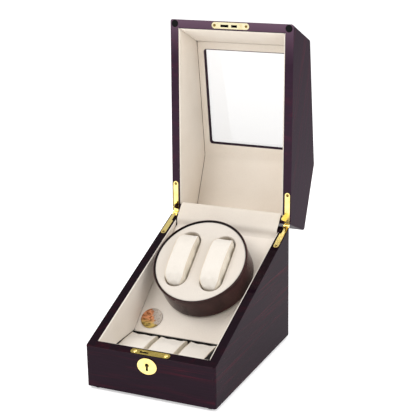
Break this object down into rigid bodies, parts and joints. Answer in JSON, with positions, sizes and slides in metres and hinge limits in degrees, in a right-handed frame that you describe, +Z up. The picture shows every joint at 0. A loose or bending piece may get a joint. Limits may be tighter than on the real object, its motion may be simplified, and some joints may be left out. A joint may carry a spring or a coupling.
{
  "type": "watch winder box",
  "caption": "Dark lacquered wedge-shaped case with a glazed hinged lid, a tilted motor-driven turntable with watch cushions, and a tray of storage pillows.",
  "frame": {"origin": "bottom centre of the open object's bounding box, on the surface that the feet stand on", "axes": "+X to the right seen from the front, +Y from the front face to the back, +Z up; the lid is fully open at rest"},
  "size_m": [0.18, 0.3528, 0.4375],
  "materials": {
    "dark_lacquer": "high-gloss dark lacquer over board, with faint red grain",
    "floor_board": "matt black-faced board",
    "cream_lining": "cream suede-like cloth over thin board",
    "cream_padding": "cream cloth over foam",
    "tray_board": "dark cloth-faced board",
    "drum_lacquer": "gloss brown lacquer",
    "ring_lacquer": "gloss black",
    "face_board": "cloth-faced board",
    "well_moulding": "flocked cream",
    "brass": "polished",
    "printed_disc": null,
    "plated_steel": "zinc plated",
    "rubber": "matt black",
    "nylon": "white nylon",
    "glass": "clear, polished edges",
    "black_plastic": "satin black",
    "circuit_board": "green board",
    "red_wire": "red PVC"
  },
  "bodies": {
    "case": {"base_carcass": "dark_lacquer", "base_floor": "floor_board", "base_lining": "cream_lining", "control_board": "circuit_board", "control_plate": "black_plastic", "deck_bush": "nylon", "deck_panel": "cream_lining", "drive_belt": "rubber", "escutcheon": "brass", "foot_back_left": "rubber", "foot_back_right": "rubber", "foot_front_left": "rubber", "foot_front_right": "rubber", "hinge_base_leaf_left": "brass", "hinge_base_leaf_right": "brass", "hinge_flap": "cream_lining", "hinge_pin_left": "plated_steel", "hinge_pin_right": "plated_steel", "hinge_screw_base_left": "brass", "hinge_screw_base_right": "brass", "lock_case": "plated_steel", "lock_plate": "brass", "medallion": "printed_disc", "motor_bracket": "plated_steel", "motor_can": "plated_steel", "motor_gearbox": "plated_steel", "motor_lead": "red_wire", "pillow_tray": "tray_board", "power_jack": "black_plastic"},
    "lid": {"lid_shell": "dark_lacquer", "window_pane": "glass", "lid_lining_left": "cream_lining", "lid_lining_right": "cream_lining", "lid_lining_front": "cream_lining", "lid_lining_window": "cream_lining", "lid_lining_top": "cream_lining", "strike_plate": "brass", "lid_bumper_left": "rubber", "lid_bumper_right": "rubber", "hinge_lid_leaf_left": "brass", "hinge_lid_leaf_right": "brass", "hinge_screw_lid_left": "brass", "hinge_screw_lid_right": "brass"},
    "turntable": {"turntable_drum": "drum_lacquer", "turntable_ring": "ring_lacquer", "turntable_face": "face_board", "turntable_wells": "well_moulding", "turntable_shaft": "plated_steel", "turntable_pulley": "nylon"},
    "drive_pulley": {"drive_pulley": "nylon"},
    "winder_cushion_left": {"winder_cushion_left": "cream_padding"},
    "winder_cushion_right": {"winder_cushion_right": "cream_padding"},
    "storage_pillow_left": {"storage_pillow_left": "cream_padding"},
    "storage_pillow_centre": {"storage_pillow_centre": "cream_padding"},
    "storage_pillow_right": {"storage_pillow_right": "cream_padding"},
    "lock_cam": {"lock_cam": "brass"},
    "lock_bolt": {"lock_bolt": "plated_steel"},
    "power_rocker": {"power_rocker": "black_plastic"},
    "mode_knob": {"mode_knob": "black_plastic"}
  },
  "joints": [
    {"name": "lid_hinge", "type": "hinge", "parent": "case", "child": "lid", "pos_m": [0, 0.08002, 0.1629], "axis": [-1, 0, 0], "range_deg": [-114, 0], "deforming": ["hinge_flap"]},
    {"name": "turntable_spin", "type": "hinge", "parent": "case", "child": "turntable", "pos_m": [0, 0.00495, 0.10197], "axis": [0, -0.6266, 0.7793], "continuous": true},
    {"name": "drive_pulley_spin", "type": "hinge", "parent": "case", "child": "drive_pulley", "pos_m": [0, -0.04025, 0.06563], "axis": [0, -0.6266, 0.7793], "continuous": true},
    {"name": "winder_cushion_left_lift", "type": "slide", "parent": "turntable", "child": "winder_cushion_left", "axis": [0, -0.6266, 0.7793], "range_m": [0, 0.045]},
    {"name": "winder_cushion_right_lift", "type": "slide", "parent": "turntable", "child": "winder_cushion_right", "axis": [0, -0.6266, 0.7793], "range_m": [0, 0.045]},
    {"name": "storage_pillow_left_lift", "type": "slide", "parent": "case", "child": "storage_pillow_left", "axis": [0, 0, 1], "range_m": [0, 0.045]},
    {"name": "storage_pillow_centre_lift", "type": "slide", "parent": "case", "child": "storage_pillow_centre", "axis": [0, 0, 1], "range_m": [0, 0.045]},
    {"name": "storage_pillow_right_lift", "type": "slide", "parent": "case", "child": "storage_pillow_right", "axis": [0, 0, 1], "range_m": [0, 0.045]},
    {"name": "lock_cam_turn", "type": "hinge", "parent": "case", "child": "lock_cam", "pos_m": [-0.0024, -0.16928, 0.046], "axis": [0, 1, 0], "range_deg": [0, 90]},
    {"name": "lock_bolt_slide", "type": "slide", "parent": "case", "child": "lock_bolt", "axis": [0, 0, 1], "range_m": [0, 0.0065]},
    {"name": "power_rocker_tilt", "type": "hinge", "parent": "case", "child": "power_rocker", "pos_m": [0, 0.07912, 0.042], "axis": [1, 0, 0], "range_deg": [0, 18]},
    {"name": "mode_knob_turn", "type": "hinge", "parent": "case", "child": "mode_knob", "pos_m": [0.024, 0.08012, 0.042], "axis": [0, 1, 0], "range_deg": [-60, 60]}
  ],
  "couplings": [
    {"joint": "drive_pulley_spin", "follows": "turntable_spin", "ratio": 5},
    {"joint": "lock_cam_turn", "follows": "lock_bolt_slide", "rad_per_m": 238}
  ]
}
